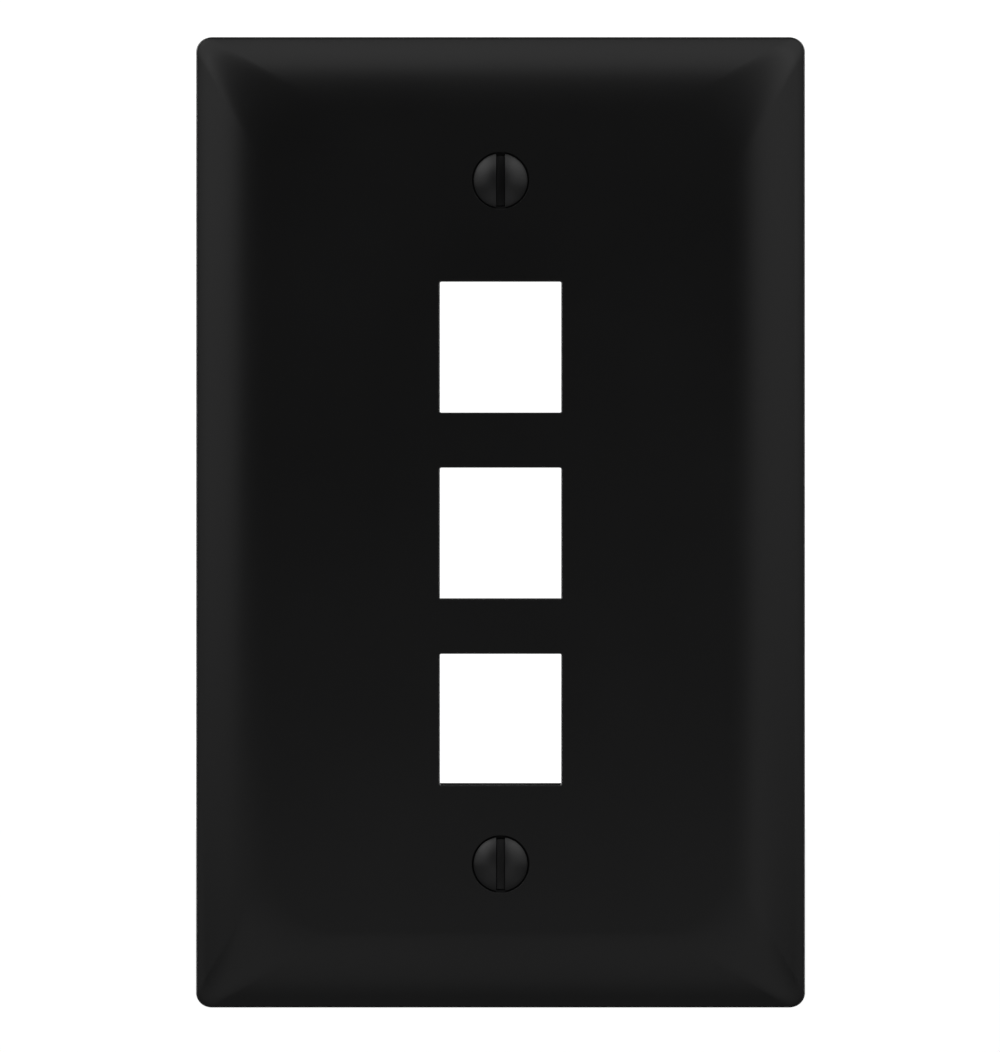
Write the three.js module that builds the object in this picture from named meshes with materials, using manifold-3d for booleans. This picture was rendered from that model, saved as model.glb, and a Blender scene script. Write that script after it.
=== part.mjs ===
// A one-gang wall plate with three keystone jack ports, and the two screws that hold it to its wall box.
// Millimetres. X is across the plate, Z is up, and Y runs into the wall. The origin lies in the wall plane,
// halfway between the two screws. A depth is measured from the wall plane towards the room, along -Y.
import * as THREE from "three";
import { mergeVertices } from "three/addons/utils/BufferGeometryUtils.js";
import Module from "manifold-3d";

const wasm = await Module();
wasm.setup();

// The plate's outside
const PLATE_WIDTH = 74.6;
const PLATE_HEIGHT = 118.8;
const PLATE_DEPTH = 6.0;
const EDGE_DEPTH = 3.7; // where the side wall ends and the face's roll-off starts
const ROLL_WIDTH = 9.5; // how far in from the edge the face is flat
const ROLL_PULL = 4.4; // how far the roll-off's curve is pulled in over the side wall
const SIDE_DRAFT = 0.15;
const CORNER_RADIUS = 1.8;

// The plate's walls
const FACE_THICKNESS = 2.3;
const SIDE_THICKNESS = 2.0;
const INNER_FACE_DEPTH = PLATE_DEPTH - FACE_THICKNESS;

// The three ports. A port is a window in the face, and a taller jack cavity behind it.
const PORT_COUNT = 3;
const PORT_PITCH = 22.7;
const WINDOW_WIDTH = 14.9;
const WINDOW_HEIGHT = 16.0;
const MIDDLE_WINDOW_Z = -1.33;
const CAVITY_HEIGHT = 20.3;
const HOOK_LEDGE = 0.7; // the cavity's floor lies this far below the window's lower edge
const FRAME_REACH = 3.7; // how far the port frames stand out behind the wall plane
const FRAME_SIDE_WALL = 1.8;
const FRAME_END_WALL = 1.6;
const SILL_THICKNESS = 2.2;
const CATCH_THICKNESS = 1.5;
const CATCH_DROP = 1.6;

// The screws, No. 6-32 with a slotted oval head, and what the plate has for them
const SCREW_SPACING = 83.3;
const HOLE_RADIUS = 2.28;
const BOSS_RADIUS = 4.5;
const BOSS_GAP = 0.6; // the boss stops this far short of the wall plane
const HEAD_RADIUS = 3.3;
const HEAD_HALF_ANGLE = THREE.MathUtils.degToRad(41);
const HEAD_RIM = 0.15;
const CROWN_HEIGHT = 0.85;
const SEAT_GAP = 0.2; // radial gap between the head's cone and its countersink
const THREAD_RADIUS = 1.75;
const SCREW_LENGTH = 25.4;
const TIP_CHAMFER = 0.6;
const SLOT_WIDTH = 1.1;
const SLOT_DEPTH = 1.3; // below the top of the crown

// The ribs behind the face
const RIB_THICKNESS = 1.2;
const RIB_DEPTH = 1.6; // the ribs stop this far from the wall plane
const RIB_ROOT = 0.2; // how far they run into the face
const UPRIGHT_RIB_X = 22.0;
const CROSS_RIB_Z = 12.0;

const OVERLAP = 0.5; // how far a joined piece reaches into its neighbour, or a cutter past a face
const ROUND_SEGMENTS = 48;

function toSolid(geometry) {
  geometry.deleteAttribute("normal");
  geometry.deleteAttribute("uv");
  const merged = mergeVertices(geometry, 1e-4);
  return new wasm.Manifold(
    new wasm.Mesh({
      numProp: 3,
      vertProperties: new Float32Array(merged.attributes.position.array),
      triVerts: new Uint32Array(merged.index.array),
    }),
  );
}

function toGeometry(solid) {
  const mesh = solid.getMesh();
  const geometry = new THREE.BufferGeometry();
  geometry.setAttribute("position", new THREE.BufferAttribute(mesh.vertProperties, 3));
  geometry.setIndex(new THREE.BufferAttribute(mesh.triVerts, 1));
  const faceted = geometry.toNonIndexed();
  faceted.computeVertexNormals();
  return faceted;
}

// A box given by its limits across the plate, in depth and in height.
function block(xLow, xHigh, depthLow, depthHigh, zLow, zHigh) {
  const geometry = new THREE.BoxGeometry(xHigh - xLow, depthHigh - depthLow, zHigh - zLow);
  geometry.translate((xLow + xHigh) / 2, -(depthLow + depthHigh) / 2, (zLow + zHigh) / 2);
  return toSolid(geometry);
}

// A round piece or cutter with its axis along Y, from [radius, depth] pairs that start and end on the axis.
function turned(profile, z) {
  const points = profile.map(([radius, depth]) => new THREE.Vector2(radius, -depth));
  const geometry = new THREE.LatheGeometry(points, ROUND_SEGMENTS);
  geometry.translate(0, 0, z);
  return toSolid(geometry);
}

// The plate's section across one span: side walls, and a face that rolls off towards both of them.
function domedSection(span, edgeDepth, faceDepth) {
  const foot = span / 2;
  const shoulder = foot - SIDE_DRAFT;
  const flat = foot - ROLL_WIDTH;
  const shape = new THREE.Shape();
  shape.moveTo(-foot, 0);
  shape.lineTo(-shoulder, -edgeDepth);
  shape.quadraticCurveTo(-shoulder + ROLL_PULL, -faceDepth, -flat, -faceDepth);
  shape.lineTo(flat, -faceDepth);
  shape.quadraticCurveTo(shoulder - ROLL_PULL, -faceDepth, shoulder, -edgeDepth);
  shape.lineTo(foot, 0);
  shape.closePath();
  return shape;
}

function roundedRectangle(width, height, radius) {
  const x = width / 2 - radius;
  const y = height / 2 - radius;
  const shape = new THREE.Shape();
  shape.absarc(x, y, radius, 0, Math.PI / 2);
  shape.absarc(-x, y, radius, Math.PI / 2, Math.PI);
  shape.absarc(-x, -y, radius, Math.PI, 1.5 * Math.PI);
  shape.absarc(x, -y, radius, 1.5 * Math.PI, 2 * Math.PI);
  shape.closePath();
  return shape;
}

function extruded(shape, length) {
  const settings = { depth: length, bevelEnabled: false, curveSegments: 10 };
  return new THREE.ExtrudeGeometry(shape, settings);
}

// A domed slab: its section across the width and its section up the height meet, and the outline is rounded.
function domedSlab(width, height, edgeDepth, faceDepth, cornerRadius) {
  const across = extruded(domedSection(width, edgeDepth, faceDepth), height);
  across.translate(0, 0, -height / 2);
  const upright = extruded(domedSection(height, edgeDepth, faceDepth), width);
  upright.translate(0, 0, -width / 2);
  upright.rotateY(-Math.PI / 2);
  const outline = extruded(roundedRectangle(width, height, cornerRadius), faceDepth + 2 * OVERLAP);
  outline.translate(0, 0, -OVERLAP);
  outline.rotateX(Math.PI / 2);
  return toSolid(across).intersect(toSolid(upright)).intersect(toSolid(outline));
}

function screwHeights() {
  return [SCREW_SPACING / 2, -SCREW_SPACING / 2];
}

// The height of each window's middle, from the top port down.
function windowHeights() {
  const middle = (PORT_COUNT - 1) / 2;
  return Array.from({ length: PORT_COUNT }, (_, i) => MIDDLE_WINDOW_Z + (middle - i) * PORT_PITCH);
}

function cavityLimits(windowZ) {
  const floor = windowZ - WINDOW_HEIGHT / 2 - HOOK_LEDGE;
  return [floor, floor + CAVITY_HEIGHT];
}

// The hollow slab that shows from the room.
function faceShell() {
  const outside = domedSlab(PLATE_WIDTH, PLATE_HEIGHT, EDGE_DEPTH, PLATE_DEPTH, CORNER_RADIUS);
  const hollow = domedSlab(
    PLATE_WIDTH - 2 * SIDE_THICKNESS,
    PLATE_HEIGHT - 2 * SIDE_THICKNESS,
    EDGE_DEPTH - FACE_THICKNESS,
    INNER_FACE_DEPTH,
    CORNER_RADIUS / 2,
  );
  return outside.subtract(hollow);
}

// The ribs end inside the side walls and the face, which they are moulded in one with.
function stiffeningRibs() {
  const half = RIB_THICKNESS / 2;
  const xEnd = PLATE_WIDTH / 2 - SIDE_THICKNESS / 2;
  const zEnd = PLATE_HEIGHT / 2 - SIDE_THICKNESS / 2;
  const front = INNER_FACE_DEPTH + RIB_ROOT;
  const uprights = [-UPRIGHT_RIB_X, UPRIGHT_RIB_X].map((x) =>
    block(x - half, x + half, RIB_DEPTH, front, -zEnd, zEnd),
  );
  const crosses = [...screwHeights(), CROSS_RIB_Z, -CROSS_RIB_Z].map((z) =>
    block(-xEnd, xEnd, RIB_DEPTH, front, z - half, z + half),
  );
  return [...uprights, ...crosses];
}

// One ladder of walls round all three jack cavities.
function portFrameBlock() {
  const heights = windowHeights();
  const [, top] = cavityLimits(heights[0]);
  const [bottom] = cavityLimits(heights[PORT_COUNT - 1]);
  const side = WINDOW_WIDTH / 2 + FRAME_SIDE_WALL;
  const front = INNER_FACE_DEPTH + OVERLAP;
  return block(-side, side, -FRAME_REACH, front, bottom - FRAME_END_WALL, top + FRAME_END_WALL);
}

function portCutters() {
  const half = WINDOW_WIDTH / 2;
  return windowHeights().flatMap((z) => {
    const [floor, roof] = cavityLimits(z);
    const back = -FRAME_REACH - OVERLAP;
    const window = block(-half, half, back, PLATE_DEPTH + OVERLAP, z - WINDOW_HEIGHT / 2, z + WINDOW_HEIGHT / 2);
    return [window, block(-half, half, back, INNER_FACE_DEPTH, floor, roof)];
  });
}

// What a jack hooks under and clips behind, at the back of each cavity.
function jackCatches() {
  const half = WINDOW_WIDTH / 2 + OVERLAP;
  return windowHeights().flatMap((z) => {
    const [floor, roof] = cavityLimits(z);
    const sillBack = -FRAME_REACH;
    return [
      block(-half, half, sillBack, sillBack + SILL_THICKNESS, floor - OVERLAP, floor + HOOK_LEDGE),
      block(-half, half, sillBack, sillBack + CATCH_THICKNESS, roof - CATCH_DROP, roof + OVERLAP),
    ];
  });
}

function screwBoss(z) {
  return turned(
    [
      [0, INNER_FACE_DEPTH + OVERLAP],
      [BOSS_RADIUS, INNER_FACE_DEPTH + OVERLAP],
      [BOSS_RADIUS, BOSS_GAP],
      [0, BOSS_GAP],
    ],
    z,
  );
}

// A clearance hole with its countersink.
function screwHole(z) {
  const mouthRadius = HEAD_RADIUS + SEAT_GAP;
  const sinkDepth = (mouthRadius - HOLE_RADIUS) / Math.tan(HEAD_HALF_ANGLE);
  return turned(
    [
      [0, PLATE_DEPTH + OVERLAP],
      [mouthRadius, PLATE_DEPTH + OVERLAP],
      [mouthRadius, PLATE_DEPTH - HEAD_RIM],
      [HOLE_RADIUS, PLATE_DEPTH - HEAD_RIM - sinkDepth],
      [HOLE_RADIUS, -OVERLAP],
      [0, -OVERLAP],
    ],
    z,
  );
}

function wallPlate() {
  let plate = faceShell();
  for (const rib of stiffeningRibs()) plate = plate.add(rib);
  for (const z of screwHeights()) plate = plate.add(screwBoss(z));
  plate = plate.add(portFrameBlock());
  for (const cutter of portCutters()) plate = plate.subtract(cutter);
  for (const jackCatch of jackCatches()) plate = plate.add(jackCatch);
  for (const z of screwHeights()) plate = plate.subtract(screwHole(z));
  return toGeometry(plate);
}

// The oval crown is an arc from the middle of the head down to its rim.
function crownPoints() {
  const sphereRadius = (HEAD_RADIUS ** 2 + CROWN_HEIGHT ** 2) / (2 * CROWN_HEIGHT);
  const halfAngle = Math.asin(HEAD_RADIUS / sphereRadius);
  const steps = 6;
  const sphereDepth = PLATE_DEPTH + CROWN_HEIGHT - sphereRadius;
  return Array.from({ length: steps + 1 }, (_, i) => {
    const angle = (halfAngle * i) / steps;
    return [sphereRadius * Math.sin(angle), sphereDepth + sphereRadius * Math.cos(angle)];
  });
}

// The screw's head is level with the plate's face, and its rounded crown stands proud.
function mountingScrew(z) {
  const coneLength = (HEAD_RADIUS - THREAD_RADIUS) / Math.tan(HEAD_HALF_ANGLE);
  const coneTop = PLATE_DEPTH - HEAD_RIM;
  const tip = PLATE_DEPTH - SCREW_LENGTH;
  const body = turned(
    [
      ...crownPoints(),
      [HEAD_RADIUS, coneTop],
      [THREAD_RADIUS, coneTop - coneLength],
      [THREAD_RADIUS, tip + TIP_CHAMFER],
      [THREAD_RADIUS - TIP_CHAMFER, tip],
      [0, tip],
    ],
    z,
  );
  const crownTop = PLATE_DEPTH + CROWN_HEIGHT;
  const half = SLOT_WIDTH / 2;
  const reach = HEAD_RADIUS + OVERLAP;
  const slot = block(-half, half, crownTop - SLOT_DEPTH, crownTop + OVERLAP, z - reach, z + reach);
  return toGeometry(body.subtract(slot));
}

const plateMaterial = new THREE.MeshStandardMaterial({ color: 0x161616, roughness: 0.45, metalness: 0 });
const screwMaterial = new THREE.MeshStandardMaterial({ color: 0x181818, roughness: 0.4, metalness: 0.2 });

const wallPlateCover = new THREE.Group();

const plateMesh = new THREE.Mesh(wallPlate(), plateMaterial);
plateMesh.name = "wall_plate";
wallPlateCover.add(plateMesh);

const screwNames = ["mounting_screw_upper", "mounting_screw_lower"];
screwHeights().forEach((z, i) => {
  const screw = new THREE.Mesh(mountingScrew(z), screwMaterial);
  screw.name = screwNames[i];
  wallPlateCover.add(screw);
});

export default wallPlateCover;
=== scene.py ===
"""A one-gang wall plate with three keystone jack ports, and its two mounting screws.

Metres. X is across the plate, Z is up, and Y runs into the wall. A depth is measured from the wall plane
towards the room, along -Y.
"""

import math

import bmesh
import bpy
from mathutils import Matrix, Vector


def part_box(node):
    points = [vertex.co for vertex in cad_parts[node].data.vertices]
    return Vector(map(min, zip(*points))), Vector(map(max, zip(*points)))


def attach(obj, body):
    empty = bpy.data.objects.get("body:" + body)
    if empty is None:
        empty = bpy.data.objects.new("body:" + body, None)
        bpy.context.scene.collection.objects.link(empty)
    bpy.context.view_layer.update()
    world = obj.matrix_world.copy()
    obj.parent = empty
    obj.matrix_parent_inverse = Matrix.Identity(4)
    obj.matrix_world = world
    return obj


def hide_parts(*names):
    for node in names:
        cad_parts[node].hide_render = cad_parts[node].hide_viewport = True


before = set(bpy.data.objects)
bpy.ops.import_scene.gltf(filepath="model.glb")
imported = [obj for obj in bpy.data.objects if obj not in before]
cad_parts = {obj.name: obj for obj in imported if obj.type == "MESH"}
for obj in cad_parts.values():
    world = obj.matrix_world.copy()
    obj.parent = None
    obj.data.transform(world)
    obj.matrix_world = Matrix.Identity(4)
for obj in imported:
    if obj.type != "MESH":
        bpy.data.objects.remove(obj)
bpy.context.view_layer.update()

MM = 0.001

# ---------------------------------------------------------------------------------------------------------
# The face: the slab that shows from the room. It is one injection moulding of black thermoplastic, open
# behind. It is flat in the middle and rolls off all round to a thin side wall, whose rim seats on the wall.

plate_low, plate_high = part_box("wall_plate")
PLATE_WIDTH = plate_high.x - plate_low.x
PLATE_HEIGHT = plate_high.z - plate_low.z
PLATE_DEPTH = -plate_low.y
EDGE_DEPTH = 3.7 * MM
ROLL_WIDTH = 9.5 * MM
ROLL_PULL = 4.4 * MM
SIDE_DRAFT = 0.15 * MM
CORNER_RADIUS = 1.8 * MM
CORNER_GROWTH = 0.7  # how fast the roll-off's corners soften on the way in
ROLL_STEPS = 40
SHOULDER_ROUND = 0.3 * MM
SHOULDER_STEPS = 8
SHOULDER_REACH = 2  # the step of the roll-off where the shoulder's rounding ends
FACE_THICKNESS = 2.3 * MM
SIDE_THICKNESS = 2.0 * MM
INNER_FACE_DEPTH = PLATE_DEPTH - FACE_THICKNESS
EDGE_ROUND = 0.16 * MM  # the small radius that a mould leaves on a free edge
EDGE_STEPS = 4
OVERLAP = 0.4 * MM  # how far a joined piece or a cutter reaches past the face it meets
WELD_DISTANCE = 0.0001 * MM
OUTLINE_CORNER_STEPS = 16


def outline(width, height, radius, depth, corner_steps):
    """The points of one upright rounded rectangle, anticlockwise as seen from the room."""
    radius = min(radius, width / 2, height / 2)
    points = []
    for quarter in range(4):
        turn = quarter * math.pi / 2
        side_x = 1 if quarter in (0, 3) else -1
        side_z = 1 if quarter < 2 else -1
        for step in range(corner_steps + 1):
            angle = turn + step * math.pi / 2 / corner_steps
            x = side_x * (width / 2 - radius) + radius * math.cos(angle)
            z = side_z * (height / 2 - radius) + radius * math.sin(angle)
            points.append(Vector((x, -depth, z)))
    return points


def new_object(name, shape):
    """Turns a bmesh into an object at the origin, with its faces pointing out."""
    bmesh.ops.remove_doubles(shape, verts=shape.verts, dist=WELD_DISTANCE)
    bmesh.ops.recalc_face_normals(shape, faces=shape.faces)
    mesh = bpy.data.meshes.new(name)
    shape.to_mesh(mesh)
    shape.free()
    made = bpy.data.objects.new(name, mesh)
    bpy.context.scene.collection.objects.link(made)
    return made


def stack(name, sections, corner_steps=8):
    """A closed solid through a stack of (width, height, corner radius, depth) sections."""
    shape = bmesh.new()
    rings = []
    for width, height, radius, depth in sections:
        points = outline(width, height, radius, depth, corner_steps)
        rings.append([shape.verts.new(point) for point in points])
    for near, far in zip(rings, rings[1:]):
        for i in range(len(near)):
            j = (i + 1) % len(near)
            shape.faces.new((near[i], near[j], far[j], far[i]))
    shape.faces.new(rings[0])
    shape.faces.new(rings[-1])
    return new_object(name, shape)


def settled(made):
    """Replaces the object's mesh by its evaluated one, and removes its modifiers."""
    evaluated = made.evaluated_get(bpy.context.evaluated_depsgraph_get())
    mesh = bpy.data.meshes.new_from_object(evaluated)
    made.modifiers.clear()
    old = made.data
    made.data = mesh
    bpy.data.meshes.remove(old)
    return made


def combine(body, tool, operation):
    """Cuts the tool from the body or joins it on, and uses the tool up."""
    modifier = body.modifiers.new("combine", "BOOLEAN")
    modifier.operation = operation
    modifier.solver = "EXACT"
    modifier.object = tool
    settled(body)
    bpy.data.objects.remove(tool)
    return body


def bezier(start, control, end, steps):
    """Points along a quadratic curve between two (inset, depth) pairs."""
    for step in range(steps + 1):
        t = step / steps
        yield tuple(
            a * (1 - t) ** 2 + 2 * b * t * (1 - t) + c * t**2 for a, b, c in zip(start, control, end)
        )


def domed_slab(name, width, height, back, edge_depth, face_depth, corner_radius):
    """The slab's sections from the back forward: side wall, rounded shoulder, roll-off and flat face."""
    roll_start = (SIDE_DRAFT, edge_depth)
    roll_end = (ROLL_WIDTH, face_depth)
    roll_control = (SIDE_DRAFT + ROLL_PULL, face_depth)
    roll = list(bezier(roll_start, roll_control, roll_end, ROLL_STEPS))
    shoulder_start = (SIDE_DRAFT, edge_depth - SHOULDER_ROUND)
    path = [(0.0, back)]
    path += bezier(shoulder_start, roll_start, roll[SHOULDER_REACH], SHOULDER_STEPS)
    path += roll[SHOULDER_REACH + 1 :]
    sections = []
    for inset, depth in path:
        radius = corner_radius + CORNER_GROWTH * inset
        sections.append((width - 2 * inset, height - 2 * inset, radius, depth))
    return stack(name, sections, corner_steps=OUTLINE_CORNER_STEPS)


plate = domed_slab(
    "plate_moulding", PLATE_WIDTH, PLATE_HEIGHT, 0.0, EDGE_DEPTH, PLATE_DEPTH, CORNER_RADIUS
)
hollow = domed_slab(
    "hollow",
    PLATE_WIDTH - 2 * SIDE_THICKNESS,
    PLATE_HEIGHT - 2 * SIDE_THICKNESS,
    -OVERLAP,
    EDGE_DEPTH - FACE_THICKNESS,
    INNER_FACE_DEPTH,
    CORNER_RADIUS / 2,
)
combine(plate, hollow, "DIFFERENCE")

# ---------------------------------------------------------------------------------------------------------
# The ribs: thin bars that stiffen the face from behind, two upright and four across, moulded in one with it.
# Beside the uprights are the round marks of the pins that push the plate out of its mould.

RIB_THICKNESS = 1.2 * MM
RIB_DEPTH = 1.6 * MM
RIB_FRONT = INNER_FACE_DEPTH + 0.2 * MM  # a little way into the face
RIB_END_INSET = 1.0 * MM
RIB_CORNER = 0.2 * MM
RIB_CORNER_STEPS = 4
UPRIGHT_RIB_X = 22.0 * MM
CROSS_RIB_Z = 12.0 * MM
SCREW_SPACING = 83.3 * MM
PIN_MARK_RADIUS = 1.5 * MM
PIN_MARK_DEPTH = 0.2 * MM
PIN_MARK_SLOPE = 0.2 * MM
PIN_MARK_X = 15.6 * MM
PIN_MARK_PITCH = 22.7 * MM
PIN_MARK_ROWS = 5


class Wire:
    """A socket in a node tree, on which Python's operators add Math nodes."""

    def __init__(self, tree, socket):
        self.tree = tree
        self.socket = socket

    def maths(self, operation, *others):
        values = dict(enumerate((self, *others)))
        return node(self.tree, "ShaderNodeMath", values, operation=operation)

    def __add__(self, other):
        return self.maths("ADD", other)

    __radd__ = __add__

    def __sub__(self, other):
        return self.maths("SUBTRACT", other)

    def __rsub__(self, other):
        return self.maths("MULTIPLY", -1.0) + other

    def __mul__(self, other):
        return self.maths("MULTIPLY", other)

    __rmul__ = __mul__

    def __truediv__(self, other):
        return self.maths("DIVIDE", other)

    def clamped(self, low, high):
        return self.maths("MAXIMUM", low).maths("MINIMUM", high)


def node(tree, kind, values=None, output=0, **settings):
    """Adds a node, gives it its settings and then its inputs, and returns one of its outputs."""
    made = tree.nodes.new(kind)
    for setting, value in settings.items():
        setattr(made, setting, value)
    for key, value in (values or {}).items():
        if isinstance(value, Wire):
            tree.links.new(value.socket, made.inputs[key])
        else:
            made.inputs[key].default_value = value
    return Wire(tree, made.outputs[output]) if made.outputs else made


def new_node_group(name, sizes):
    """A Geometry Nodes tree with a geometry input and one named input for each of its sizes."""
    tree = bpy.data.node_groups.new(name, "GeometryNodeTree")
    tree.interface.new_socket("Geometry", in_out="INPUT", socket_type="NodeSocketGeometry")
    tree.interface.new_socket("Geometry", in_out="OUTPUT", socket_type="NodeSocketGeometry")
    for size, kind in sizes.items():
        tree.interface.new_socket(size, in_out="INPUT", socket_type=kind)
    return tree


def run_nodes(made, tree, values):
    """Runs a tree on an object with these values for its named inputs, and keeps the plain mesh."""
    modifier = made.modifiers.new(tree.name, "NODES")
    modifier.node_group = tree
    for item in tree.interface.items_tree:
        if item.in_out == "INPUT" and item.name in values:
            modifier[item.identifier] = values[item.name]
    return settled(made)


def make_row_nodes():
    """Repeats a piece along a straight row: how many there are, where the first is, and the step."""
    sizes = {"Count": "NodeSocketInt", "First": "NodeSocketVector", "Step": "NodeSocketVector"}
    tree = new_node_group("row of pieces", sizes)
    inputs = tree.nodes.new("NodeGroupInput")
    piece, count, first, step = (Wire(tree, socket) for socket in inputs.outputs[:4])
    line = node(
        tree,
        "GeometryNodeMeshLine",
        {"Count": count, "Start Location": first, "Offset": step},
        mode="OFFSET",
    )
    placed = node(tree, "GeometryNodeInstanceOnPoints", {"Points": line, "Instance": piece})
    real = node(tree, "GeometryNodeRealizeInstances", {"Geometry": placed})
    finished = node(tree, "GeometryNodeSetMaterial", {"Geometry": real})
    node(tree, "NodeGroupOutput", {"Geometry": finished})
    return tree


row_nodes = make_row_nodes()


def row(piece, count, first, step):
    """Repeats the piece, with (x, z) pairs for the first place and the step."""
    values = {"Count": count, "First": (first[0], 0.0, first[1]), "Step": (step[0], 0.0, step[1])}
    return run_nodes(piece, row_nodes, values)


def pair(piece, x=0.0, z=0.0):
    """Repeats the piece on both sides of the middle, at -x and x, and at -z and z."""
    return row(piece, 2, (-x, -z), (2 * x, 2 * z))


def edge_curve():
    """A quarter round of the edge radius, as pairs of a distance sideways and a run in depth."""
    for step in range(EDGE_STEPS + 1):
        angle = step * math.pi / 2 / EDGE_STEPS
        yield EDGE_ROUND * (1 - math.sin(angle)), EDGE_ROUND * (1 - math.cos(angle))


def bar(name, width, height, back, front, radius=RIB_CORNER):
    """A bar that stands out of the face, with its free end at the back rounded."""
    sections = []
    for inset, run in edge_curve():
        sections.append((width - 2 * inset, height - 2 * inset, radius, back + run))
    sections.append((width, height, radius, front))
    return stack(name, sections, corner_steps=RIB_CORNER_STEPS)


rib_height = PLATE_HEIGHT - 2 * RIB_END_INSET
rib_width = PLATE_WIDTH - 2 * RIB_END_INSET
uprights = bar("upright ribs", RIB_THICKNESS, rib_height, RIB_DEPTH, RIB_FRONT)
combine(plate, pair(uprights, x=UPRIGHT_RIB_X), "UNION")
for rib_z in (SCREW_SPACING / 2, CROSS_RIB_Z):
    crosses = bar("cross ribs", rib_width, RIB_THICKNESS, RIB_DEPTH, RIB_FRONT)
    combine(plate, pair(crosses, z=rib_z), "UNION")

pin_mark_sections = []
for radius, depth in (
    (PIN_MARK_RADIUS + PIN_MARK_SLOPE, INNER_FACE_DEPTH - OVERLAP),
    (PIN_MARK_RADIUS + PIN_MARK_SLOPE, INNER_FACE_DEPTH),
    (PIN_MARK_RADIUS, INNER_FACE_DEPTH + PIN_MARK_DEPTH),
):
    pin_mark_sections.append((2 * radius, 2 * radius, radius, depth))
for column_x in (-PIN_MARK_X, PIN_MARK_X):
    marks = stack("pin marks", pin_mark_sections)
    lowest_z = -PIN_MARK_PITCH * (PIN_MARK_ROWS - 1) / 2
    row(marks, PIN_MARK_ROWS, (column_x, lowest_z), (0.0, PIN_MARK_PITCH))
    combine(plate, marks, "DIFFERENCE")

# ---------------------------------------------------------------------------------------------------------
# The ports: three windows in the face for keystone jacks. Behind each is a taller cavity in one shared
# frame, with a ledge and a sill below for the jack's hook, and a catch above for its spring arm.

PORT_COUNT = 3
PORT_PITCH = 22.7 * MM
WINDOW_WIDTH = 14.9 * MM
WINDOW_HEIGHT = 16.0 * MM
WINDOW_CORNER = 0.25 * MM
WINDOW_CORNER_STEPS = 6
WINDOW_CUT_PAST = 1.0 * MM  # keeps the cutter's back mouth clear of the frame
MIDDLE_WINDOW_Z = -1.33 * MM
CAVITY_HEIGHT = 20.3 * MM
HOOK_LEDGE = 0.7 * MM
FRAME_REACH = plate_high.y
FRAME_SIDE_WALL = 1.8 * MM
FRAME_END_WALL = 1.6 * MM
FRAME_CORNER = 0.5 * MM
SILL_THICKNESS = 2.2 * MM
CATCH_THICKNESS = 1.5 * MM
CATCH_DROP = 1.6 * MM
CATCH_SETBACK = 0.2 * MM  # how far the sills and catches stop short of the frame's back

lowest_window_z = MIDDLE_WINDOW_Z - PORT_PITCH * (PORT_COUNT - 1) / 2
cavity_floor = -WINDOW_HEIGHT / 2 - HOOK_LEDGE
cavity_middle = cavity_floor + CAVITY_HEIGHT / 2
cavity_roof = cavity_floor + CAVITY_HEIGHT


def port_row(piece, above_window):
    """Repeats a piece for each port, its middle this far above the window's middle."""
    return row(piece, PORT_COUNT, (0.0, lowest_window_z + above_window), (0.0, PORT_PITCH))


def flared_cutter(name, width, height, radius, back, front):
    """A cutter whose mouths at both faces open out, so that the edges it leaves are rounded."""
    mouth_size = (width + 2 * EDGE_ROUND, height + 2 * EDGE_ROUND, radius)
    back_flare = []
    front_flare = []
    for outset, run in edge_curve():
        size = (width + 2 * outset, height + 2 * outset, radius + outset)
        back_flare.append((*size, back + run))
        front_flare.insert(0, (*size, front - run))
    ends = (*mouth_size, back - OVERLAP), (*mouth_size, front + OVERLAP)
    sections = [ends[0], *back_flare, *front_flare, ends[1]]
    return stack(name, sections, corner_steps=WINDOW_CORNER_STEPS)


frame_width = WINDOW_WIDTH + 2 * FRAME_SIDE_WALL
frame_height = (PORT_COUNT - 1) * PORT_PITCH + CAVITY_HEIGHT + 2 * FRAME_END_WALL
port_frame = bar("port frame", frame_width, frame_height, -FRAME_REACH, RIB_FRONT, FRAME_CORNER)
row(port_frame, 1, (0.0, MIDDLE_WINDOW_Z + cavity_middle), (0.0, 0.0))
combine(plate, port_frame, "UNION")

window_back = -FRAME_REACH - WINDOW_CUT_PAST
windows = flared_cutter(
    "windows", WINDOW_WIDTH, WINDOW_HEIGHT, WINDOW_CORNER, window_back, PLATE_DEPTH
)
combine(plate, port_row(windows, 0.0), "DIFFERENCE")

cavity_sections = [
    (WINDOW_WIDTH, CAVITY_HEIGHT, WINDOW_CORNER, -FRAME_REACH - OVERLAP),
    (WINDOW_WIDTH, CAVITY_HEIGHT, WINDOW_CORNER, INNER_FACE_DEPTH),
]
cavities = stack("cavities", cavity_sections, WINDOW_CORNER_STEPS)
combine(plate, port_row(cavities, cavity_middle), "DIFFERENCE")

catch_width = WINDOW_WIDTH + 2 * OVERLAP
catch_back = -FRAME_REACH + CATCH_SETBACK
sill_height = HOOK_LEDGE + OVERLAP
sills = bar("sills", catch_width, sill_height, catch_back, SILL_THICKNESS - FRAME_REACH)
combine(plate, port_row(sills, cavity_floor + HOOK_LEDGE - sill_height / 2), "UNION")
catch_height = CATCH_DROP + OVERLAP
catches = bar("catches", catch_width, catch_height, catch_back, CATCH_THICKNESS - FRAME_REACH)
combine(plate, port_row(catches, cavity_roof - CATCH_DROP + catch_height / 2), "UNION")

# ---------------------------------------------------------------------------------------------------------
# The screw holes: a clearance hole through a round boss, with a countersink in the face. The boss takes the
# pull of the screw, so it stops just short of the wall.

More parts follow.
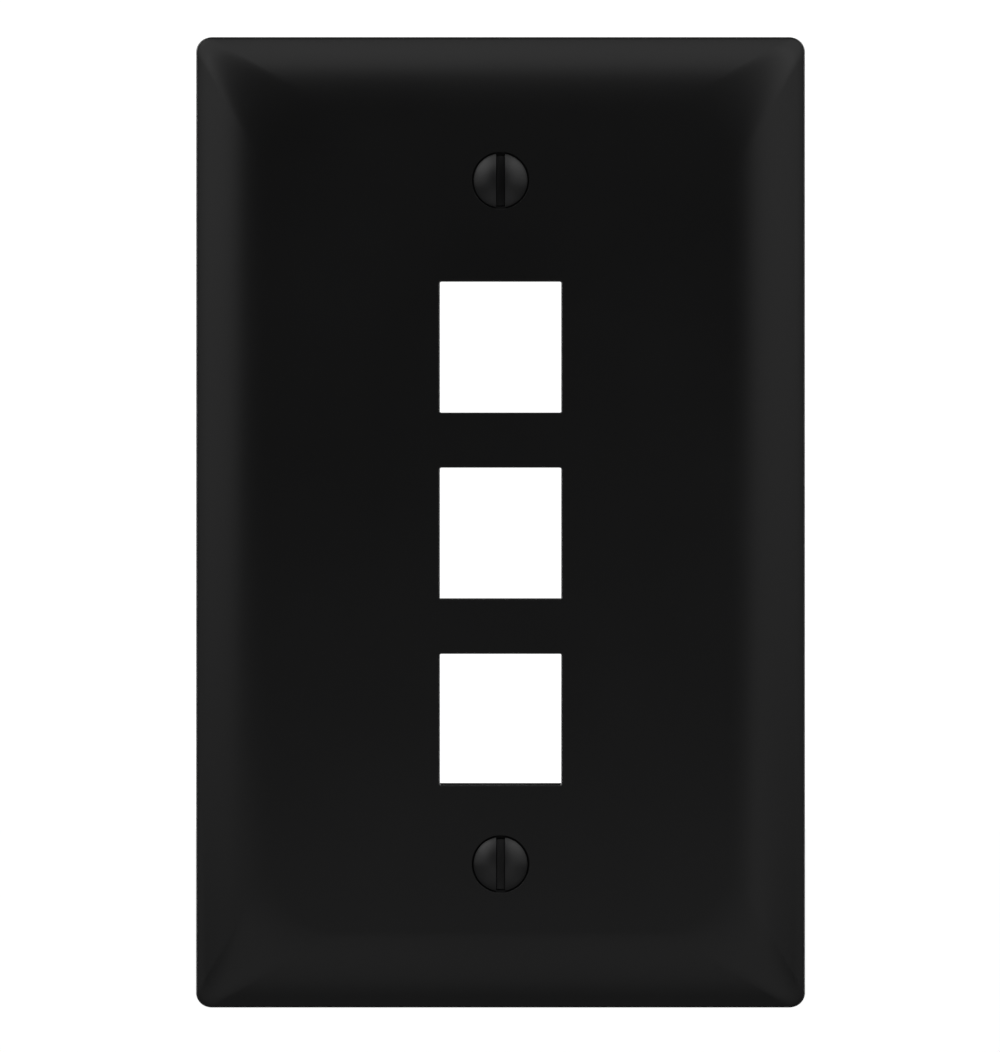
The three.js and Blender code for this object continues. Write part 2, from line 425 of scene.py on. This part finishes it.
HOLE_RADIUS = 2.28 * MM
BOSS_RADIUS = 4.5 * MM
BOSS_GAP = 0.6 * MM
HEAD_RADIUS = 3.3 * MM
HEAD_HALF_ANGLE = math.radians(41)
HEAD_RIM = 0.15 * MM
SEAT_GAP = 0.12 * MM
HOLE_CHAMFER = 0.2 * MM
LIP_DROP = 0.05 * MM  # the countersink's lip, which opens out in two small steps
LIP_WIDTH = 0.12 * MM
HOLE_CORNER_STEPS = 16


def round_sections(profile):
    """Turns (radius, depth) pairs into the sections of a round stack."""
    return [(2 * radius, 2 * radius, radius, depth) for radius, depth in profile]


bosses = bar("bosses", 2 * BOSS_RADIUS, 2 * BOSS_RADIUS, BOSS_GAP, RIB_FRONT, radius=BOSS_RADIUS)
combine(plate, pair(bosses, z=SCREW_SPACING / 2), "UNION")

mouth_radius = HEAD_RADIUS + SEAT_GAP
sink_depth = (mouth_radius - HOLE_RADIUS) / math.tan(HEAD_HALF_ANGLE)
sink_foot = PLATE_DEPTH - HEAD_RIM - sink_depth
hole_profile = [
    (HOLE_RADIUS + HOLE_CHAMFER, BOSS_GAP - OVERLAP),
    (HOLE_RADIUS + HOLE_CHAMFER, BOSS_GAP),
    (HOLE_RADIUS, BOSS_GAP + HOLE_CHAMFER),
    (HOLE_RADIUS, sink_foot),
    (mouth_radius, PLATE_DEPTH - HEAD_RIM),
    (mouth_radius + LIP_DROP, PLATE_DEPTH - LIP_DROP),
    (mouth_radius + LIP_WIDTH, PLATE_DEPTH),
    (mouth_radius + LIP_WIDTH, PLATE_DEPTH + OVERLAP),
]
holes = stack("screw holes", round_sections(hole_profile), HOLE_CORNER_STEPS)
combine(plate, pair(holes, z=SCREW_SPACING / 2), "DIFFERENCE")

# ---------------------------------------------------------------------------------------------------------
# The plate's finish: black all through. The mould is polished to an even satin on the face, and left with a
# coarser spark-eroded grain on the side wall and behind, where it hardly shows.

PLASTIC_BLACK = (0.005, 0.005, 0.0052, 1.0)
PLASTIC_GREY = (0.007, 0.007, 0.0072, 1.0)
PLASTIC_IOR = 1.49
FACE_ROUGHNESS = 0.25
SPARK_ROUGHNESS = 0.19  # how much rougher the spark-eroded side is
SPARK_DEPTH = EDGE_DEPTH + 0.6 * MM  # the grain starts here, and is full in half a millimetre
SPARK_FADE = 0.5 * MM
PLATE_SMOOTH_ANGLE = 32


def new_material(name):
    """An empty node material and its Principled shader."""
    material = bpy.data.materials.new(name)
    material.use_nodes = True
    tree = material.node_tree
    tree.nodes.clear()
    shader = tree.nodes.new("ShaderNodeBsdfPrincipled")
    output = tree.nodes.new("ShaderNodeOutputMaterial")
    tree.links.new(shader.outputs[0], output.inputs["Surface"])
    return material, tree, shader


def feed(tree, shader, name, wire):
    tree.links.new(wire.socket, shader.inputs[name])


def noise(tree, place, scale, detail):
    """Noise from 0 to 1. The scale is how many lumps there are to a metre."""
    return node(tree, "ShaderNodeTexNoise", {"Vector": place, "Scale": scale, "Detail": detail})


def mixed(tree, mask, first, second):
    """The first colour where the mask is 0, and the second where it is 1."""
    values = {0: mask, 6: first, 7: second}
    return node(tree, "ShaderNodeMix", values, output=2, data_type="RGBA")


def make_plate_plastic():
    material, tree, shader = new_material("black satin plastic")
    place = node(tree, "ShaderNodeTexCoord", output="Object")
    y = node(tree, "ShaderNodeSeparateXYZ", {0: place}, output="Y")
    behind = ((y + SPARK_DEPTH) / SPARK_FADE).clamped(0.0, 1.0)
    patches = noise(tree, place, 45.0, 3.0)
    ripple = noise(tree, place, 260.0, 2.0)
    grain = noise(tree, place, 5200.0, 3.0)
    spark = noise(tree, place, 2600.0, 4.0)
    colour = mixed(tree, patches, PLASTIC_BLACK, PLASTIC_GREY)
    roughness = FACE_ROUGHNESS + patches * 0.05 + grain * 0.05 + behind * SPARK_ROUGHNESS
    height = ripple * 0.14 + grain * 0.02 + behind * spark * 0.6
    bump = node(tree, "ShaderNodeBump", {"Strength": 0.2, "Distance": 0.05 * MM, "Height": height})
    feed(tree, shader, "Base Color", colour)
    feed(tree, shader, "Roughness", roughness)
    feed(tree, shader, "Normal", bump)
    shader.inputs["IOR"].default_value = PLASTIC_IOR
    return material


def shade_smooth(made, angle_degrees):
    """Smooth shading that keeps the edges sharper than this angle, as custom normals by face area."""
    for polygon in made.data.polygons:
        polygon.use_smooth = True
    limit = math.radians(angle_degrees)
    shape = bmesh.new()
    shape.from_mesh(made.data)
    for edge in shape.edges:
        edge.smooth = edge.is_manifold and edge.calc_face_angle(0.0) < limit
    shape.to_mesh(made.data)
    shape.free()
    weighted = made.modifiers.new("weighted normals", "WEIGHTED_NORMAL")
    weighted.keep_sharp = True
    return settled(made)


shade_smooth(plate, PLATE_SMOOTH_ANGLE)
plate.data.materials.clear()
plate.data.materials.append(make_plate_plastic())
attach(plate, "plate")
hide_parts("wall_plate")

# ---------------------------------------------------------------------------------------------------------
# The screws: two No. 6-32 machine screws with slotted oval heads, headed and rolled from steel. The heads
# are painted to match the plate before it is packed, and the thread is left zinc plated.

CROWN_HEIGHT = 0.85 * MM
THREAD_RADIUS = 1.75 * MM
CORE_RADIUS = 1.32 * MM
THREAD_PITCH = 25.4 * MM / 32
THREAD_FLAT = 1 / 6  # how much of the pitch is flat at the crest, and again at the root
RINGS_PER_TURN = 10
SCREW_LENGTH = 25.4 * MM
TIP_CHAMFER = 0.6 * MM
NECK_LENGTH = 0.5 * MM
SLOT_WIDTH = 1.1 * MM
SLOT_DEPTH = 1.3 * MM
SLOT_CHAMFER = 0.1 * MM  # along the slot's floor
SLOT_CORNER = 0.05 * MM
SLOT_CORNER_STEPS = 2
SLOT_LIP_DROP = 0.06 * MM
SLOT_LIP_WIDTH = 0.08 * MM
CROWN_STEPS = 12
CROWN_RIM_ROUND = 0.04 * MM
ROUND_STEPS = 48
THREAD_WELD = 0.001 * MM
SCREW_WELD = 0.002 * MM
PAINT_BLACK = (0.009, 0.009, 0.0095, 1.0)
ZINC = (0.4, 0.41, 0.42, 1.0)
PAINT_REACH = 1.9 * MM  # how far down the head the paint goes
PAINT_FADE = 0.25 * MM
PAINT_ROUGHNESS = 0.3
SCREW_SMOOTH_ANGLE = 35


def make_thread_nodes():
    """A round sleeve whose radius rises and falls along a helix, and fades to the core at both ends."""
    sizes = {
        "Length": "NodeSocketFloat",
        "Pitch": "NodeSocketFloat",
        "Core": "NodeSocketFloat",
        "Crest": "NodeSocketFloat",
        "Rings": "NodeSocketInt",
        "Material": "NodeSocketMaterial",
    }
    tree = new_node_group("screw thread", sizes)
    inputs = tree.nodes.new("NodeGroupInput")
    _, length, pitch, core, crest, rings, material = (Wire(tree, socket) for socket in inputs.outputs[:7])
    grid = node(
        tree,
        "GeometryNodeMeshGrid",
        {"Size X": 1.0, "Size Y": 1.0, "Vertices X": ROUND_STEPS + 1, "Vertices Y": rings},
    )
    place = node(tree, "GeometryNodeInputPosition")
    across = node(tree, "ShaderNodeSeparateXYZ", {0: place}, output="X")
    along = node(tree, "ShaderNodeSeparateXYZ", {0: place}, output="Y")
    turn = across + 0.5
    run = (along + 0.5) * length
    turns = run / pitch
    phase = (turns - turn).maths("FRACT")
    from_crest = (phase * 2.0 - 1.0).maths("ABSOLUTE")
    ridge = ((1.0 - THREAD_FLAT - from_crest) / (1.0 - 2 * THREAD_FLAT)).clamped(0.0, 1.0)
    fade = turns.maths("MINIMUM", (length - run) / pitch).clamped(0.0, 1.0)
    radius = core + (crest - core) * ridge * fade
    angle = turn * math.tau
    point = node(
        tree,
        "ShaderNodeCombineXYZ",
        {0: radius * angle.maths("COSINE"), 1: run, 2: radius * angle.maths("SINE")},
    )
    wrapped = node(tree, "GeometryNodeSetPosition", {"Geometry": grid, "Position": point})
    closed = node(tree, "GeometryNodeMergeByDistance", {"Geometry": wrapped, "Distance": THREAD_WELD})
    real = node(tree, "GeometryNodeRealizeInstances", {"Geometry": closed})
    finished = node(tree, "GeometryNodeSetMaterial", {"Geometry": real, "Material": material})
    node(tree, "NodeGroupOutput", {"Geometry": finished})
    return tree


def lathe(shape, profile):
    """Adds a surface turned round the Y axis to a bmesh. A radius of 0 closes it in a pole."""
    rings = []
    for radius, depth in profile:
        if radius == 0:
            rings.append([shape.verts.new((0, -depth, 0))] * ROUND_STEPS)
            continue
        angles = [math.tau * step / ROUND_STEPS for step in range(ROUND_STEPS)]
        rings.append(
            [shape.verts.new((radius * math.cos(a), -depth, radius * math.sin(a))) for a in angles]
        )
    for near, far in zip(rings, rings[1:]):
        for i in range(ROUND_STEPS):
            j = (i + 1) % ROUND_STEPS
            corners = list(dict.fromkeys((near[i], near[j], far[j], far[i])))
            shape.faces.new(corners)


def crown_profile():
    """The oval top of the head, from its pole to its rounded rim."""
    sphere = (HEAD_RADIUS**2 + CROWN_HEIGHT**2) / (2 * CROWN_HEIGHT)
    half_angle = math.asin(HEAD_RADIUS / sphere)
    middle = PLATE_DEPTH + CROWN_HEIGHT - sphere
    yield (0, PLATE_DEPTH + CROWN_HEIGHT)
    for step in range(1, CROWN_STEPS):
        angle = half_angle * step / CROWN_STEPS
        yield (sphere * math.sin(angle), middle + sphere * math.cos(angle))
    yield (HEAD_RADIUS - CROWN_RIM_ROUND, PLATE_DEPTH)
    yield (HEAD_RADIUS, PLATE_DEPTH - CROWN_RIM_ROUND)


def make_screw_finish():
    """Black paint on the head, and bright zinc from the foot of the cone down."""
    material, tree, shader = new_material("black painted head, zinc thread")
    place = node(tree, "ShaderNodeTexCoord", output="Object")
    y = node(tree, "ShaderNodeSeparateXYZ", {0: place}, output="Y")
    mottle = noise(tree, place, 900.0, 4.0)
    speckle = noise(tree, place, 4200.0, 2.0)
    paint_end = PLATE_DEPTH - PAINT_REACH
    bare = ((y + paint_end) / PAINT_FADE + (mottle - 0.5) * 1.5).clamped(0.0, 1.0)
    colour = mixed(tree, bare, PAINT_BLACK, ZINC)
    roughness = PAINT_ROUGHNESS + mottle * 0.1 + bare * 0.06
    bump = node(tree, "ShaderNodeBump", {"Strength": 0.25, "Distance": 0.01 * MM, "Height": speckle})
    feed(tree, shader, "Base Color", colour)
    feed(tree, shader, "Metallic", bare)
    feed(tree, shader, "Roughness", roughness)
    feed(tree, shader, "Normal", bump)
    return material


thread_nodes = make_thread_nodes()
screw_finish = make_screw_finish()
crown_top = PLATE_DEPTH + CROWN_HEIGHT
cone_top = PLATE_DEPTH - HEAD_RIM
cone_foot = cone_top - (HEAD_RADIUS - CORE_RADIUS) / math.tan(HEAD_HALF_ANGLE)
thread_start = cone_foot - NECK_LENGTH
screw_tip = PLATE_DEPTH - SCREW_LENGTH
thread_end = screw_tip + TIP_CHAMFER / 2
thread_length = thread_start - thread_end


def slotted_screw(name, z):
    """Head, thread and tip are made round the Y axis, merged, slotted, and set at their height."""
    thread = new_object(name, bmesh.new())
    values = {
        "Length": thread_length,
        "Pitch": THREAD_PITCH,
        "Core": CORE_RADIUS,
        "Crest": THREAD_RADIUS,
        "Rings": round(thread_length / THREAD_PITCH * RINGS_PER_TURN),
        "Material": screw_finish,
    }
    run_nodes(thread, thread_nodes, values)
    shape = bmesh.new()
    shape.from_mesh(thread.data)
    bmesh.ops.translate(shape, verts=shape.verts, vec=(0, -thread_start, 0))
    cone = [(HEAD_RADIUS, cone_top), (CORE_RADIUS, cone_foot), (CORE_RADIUS, thread_start)]
    lathe(shape, [*crown_profile(), *cone])
    point_radius = CORE_RADIUS - TIP_CHAMFER / 2
    lathe(shape, [(CORE_RADIUS, thread_end), (point_radius, screw_tip), (0, screw_tip)])
    bmesh.ops.remove_doubles(shape, verts=shape.verts, dist=SCREW_WELD)
    bmesh.ops.recalc_face_normals(shape, faces=shape.faces)
    shape.to_mesh(thread.data)
    shape.free()
    slot_length = 2 * (HEAD_RADIUS + OVERLAP)
    slot_floor = crown_top - SLOT_DEPTH
    slot_sections = []
    for width, depth in (
        (SLOT_WIDTH - 2 * SLOT_CHAMFER, slot_floor),
        (SLOT_WIDTH, slot_floor + SLOT_CHAMFER),
        (SLOT_WIDTH, crown_top - SLOT_LIP_DROP),
        (SLOT_WIDTH + 2 * SLOT_LIP_WIDTH, crown_top + OVERLAP),
    ):
        slot_sections.append((width, slot_length, SLOT_CORNER, depth))
    combine(thread, stack("slot", slot_sections, SLOT_CORNER_STEPS), "DIFFERENCE")
    thread.data.transform(Matrix.Translation((0, 0, z)))
    return thread


for place, z in (("upper", SCREW_SPACING / 2), ("lower", -SCREW_SPACING / 2)):
    screw = slotted_screw(f"slotted_screw_{place}", z)
    shade_smooth(screw, SCREW_SMOOTH_ANGLE)
    screw.data.materials.clear()
    screw.data.materials.append(screw_finish)
    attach(screw, f"screw_{place}")
    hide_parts(f"mounting_screw_{place}")

# ---------------------------------------------------------------------------------------------------------
# The studio: a pale floor well below the plate, a white surround, and soft boxes all round that light the
# rolled edge and leave the flat face dark. Small ones low in front lift the lower end, and two behind light
# the back. The camera looks at the plate square on.

FLOOR_Z = -0.24
FLOOR_SIZE = 12.0
FLOOR_GLOW = 1.0  # the floor shines white to the camera alone
FLOOR_GREY = (0.15, 0.15, 0.15, 1.0)  # how much of the lamps' light it throws back
FLOOR_ROUGHNESS = 0.9
WHITE = (1.0, 1.0, 1.0, 1.0)
SURROUND_LIGHT = 0.02
SURROUND_WHITE = 1.1
CAMERA_DISTANCE = 1.1
CAMERA_X = -0.00007
CAMERA_Z = -0.00045
FRAME_HEIGHT = 0.12887  # what the camera sees at the wall plane
SENSOR = 36.0
CLIP_START = 0.01


def make_floor():
    shape = bmesh.new()
    bmesh.ops.create_grid(shape, x_segments=1, y_segments=1, size=FLOOR_SIZE / 2)
    bmesh.ops.translate(shape, verts=shape.verts, vec=(0, 0, FLOOR_Z))
    floor = new_object("studio_floor", shape)
    material, tree, shader = new_material("pale floor")
    seen = node(tree, "ShaderNodeLightPath", output="Is Camera Ray")
    shader.inputs["Base Color"].default_value = FLOOR_GREY
    shader.inputs["Roughness"].default_value = FLOOR_ROUGHNESS
    shader.inputs["Emission Color"].default_value = WHITE
    feed(tree, shader, "Emission Strength", seen * FLOOR_GLOW)
    floor.data.materials.append(material)


def soft_box(name, bearing, inner, outer, glow, length=1.0, lift=0.0, distance=0.9):
    """A rectangular light that faces the plate, between two angles off its axis, in degrees. The bearing is
    0 to the right and 90 above, and the glow is how bright the box's surface is."""
    middle = math.radians((inner + outer) / 2)
    turn = math.radians(bearing)
    outward = Vector((math.cos(turn), 0.0, math.sin(turn)))
    towards = outward * math.sin(middle) - Vector((0.0, math.cos(middle), 0.0))
    across = outward * math.cos(middle) + Vector((0.0, math.sin(middle), 0.0))
    data = bpy.data.lights.new(name, "AREA")
    data.shape = "RECTANGLE"
    data.size = 2 * distance * math.tan(math.radians((outer - inner) / 2))
    data.size_y = length
    data.energy = glow * math.pi * data.size * data.size_y
    light = bpy.data.objects.new(name, data)
    light.location = towards * distance + Vector((0.0, 0.0, lift))
    light.rotation_euler = Matrix((across, towards.cross(across), towards)).transposed().to_euler()
    light.visible_camera = False
    bpy.context.scene.collection.objects.link(light)


def make_surround():
    """White to the camera, and a dimmer grey as a light."""
    world = bpy.data.worlds.new("white surround")
    bpy.context.scene.world = world
    world.use_nodes = True
    tree = world.node_tree
    tree.nodes.clear()
    seen = node(tree, "ShaderNodeLightPath", output="Is Camera Ray")
    strength = SURROUND_LIGHT + seen * (SURROUND_WHITE - SURROUND_LIGHT)
    shade = node(tree, "ShaderNodeBackground", {"Color": WHITE, "Strength": strength})
    node(tree, "ShaderNodeOutputWorld", {"Surface": shade})


make_floor()
make_surround()
soft_box("left box", 180, 27, 74, 0.61, length=0.9, lift=0.40)
soft_box("right box", 0, 18, 74, 0.52, length=0.9, lift=0.38)
soft_box("top box", 90, 36, 75, 0.7, length=1.3)
soft_box("upper left box", 135, 36, 78, 0.85, length=0.5)
soft_box("upper right box", 45, 32, 78, 0.6, length=0.5)
soft_box("low box", -90, 13, 52, 0.17, length=0.3, distance=0.3)
soft_box("lower left box", -135, 20, 60, 0.09, length=0.16, distance=0.3)
soft_box("lower right box", -45, 20, 60, 0.11, length=0.16, distance=0.3)
soft_box("low fill", -90, 7, 13, 0.3, length=0.5, distance=0.5)
soft_box("back left box", 150, 115, 155, 3.2)
soft_box("back right box", 30, 115, 155, 3.2)

camera_data = bpy.data.cameras.new("camera")
camera_data.sensor_width = SENSOR
camera_data.lens = SENSOR * CAMERA_DISTANCE / FRAME_HEIGHT
camera_data.clip_start = CLIP_START
camera = bpy.data.objects.new("camera", camera_data)
camera.location = (CAMERA_X, -CAMERA_DISTANCE, CAMERA_Z)
camera.rotation_euler = (math.pi / 2, 0, 0)
bpy.context.scene.collection.objects.link(camera)
bpy.context.scene.camera = camera
bpy.context.scene.view_settings.view_transform = "Standard"
